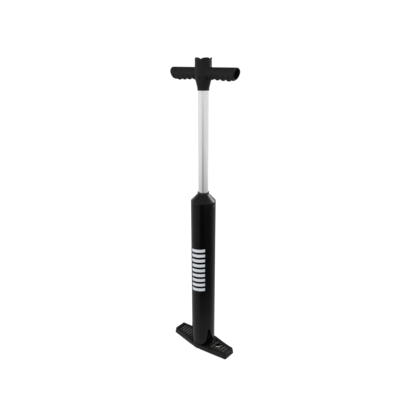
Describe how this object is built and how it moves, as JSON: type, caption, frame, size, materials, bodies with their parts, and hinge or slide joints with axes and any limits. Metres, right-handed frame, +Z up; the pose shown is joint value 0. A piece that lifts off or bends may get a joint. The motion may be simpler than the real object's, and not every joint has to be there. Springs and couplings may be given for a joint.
{
  "type": "floor pump",
  "caption": "Wide-barrel hand floor pump with a T handle, bare sliding rod, cone cap, boat-shaped foot with ribbed treads and a hose port.",
  "frame": {"origin": "centre of the foot's underside, on the axis of the barrel and rod", "axes": "+Z up along the barrel and rod; +X along the foot and the handle, towards the hose port; -Y towards the user"},
  "size_m": [0.2456, 0.0848, 0.9845],
  "materials": {
    "gloss_black": "glossy moulded plastic",
    "handle_black": "matt moulded plastic, fine grain",
    "foot_black": "satin moulded plastic",
    "tread_grey": "matt ribbed rubber",
    "aluminium": "satin, drawn along its length",
    "steel": "satin",
    "rubber_black": "smooth rubber",
    "felt_grey": "pressed felt",
    "nylon_white": "natural nylon"
  },
  "bodies": {
    "pump_body": {"barrel_tube": "gloss_black", "top_cap": "gloss_black", "rod_guide": "nylon_white", "dust_ring": "felt_grey", "base_plug": "foot_black", "base_seal": "rubber_black", "base_screws": "steel", "foot_plate": "foot_black", "tread_left": "tread_grey", "tread_right": "tread_grey", "port_insert": "gloss_black", "port_seal": "rubber_black", "base_cover": "foot_black", "cover_gasket": "rubber_black", "cover_screws": "steel"},
    "piston_assembly": {"piston": "nylon_white", "piston_bush": "nylon_white", "top_bumper": "rubber_black"},
    "rod_and_handle": {"handle_hub": "handle_black", "grip_right": "handle_black", "grip_left": "handle_black", "handle_collar": "handle_black", "handle_washer": "steel", "handle_bolt": "steel", "rod_tube": "aluminium", "rod_top_plug": "nylon_white", "rod_end_plug": "nylon_white", "piston_bolt": "steel", "piston_washer": "steel"},
    "floating_ring": {"piston_ring": "rubber_black"},
    "check_valve": {"outlet_valve_disc": "rubber_black"}
  },
  "joints": [
    {"name": "rod_slide", "type": "slide", "parent": "pump_body", "child": "piston_assembly", "axis": [0, 0, 1], "range_m": [-0.3105, 0.145]},
    {"name": "handle_spin", "type": "hinge", "parent": "piston_assembly", "child": "rod_and_handle", "pos_m": [0, 0, 0.36], "axis": [0, 0, 1], "continuous": true},
    {"name": "ring_float", "type": "slide", "parent": "piston_assembly", "child": "floating_ring", "axis": [0, 0, 1], "range_m": [0, 0.0028]},
    {"name": "outlet_valve_lift", "type": "slide", "parent": "pump_body", "child": "check_valve", "axis": [0, 0, 1], "range_m": [0, 0.002]}
  ]
}
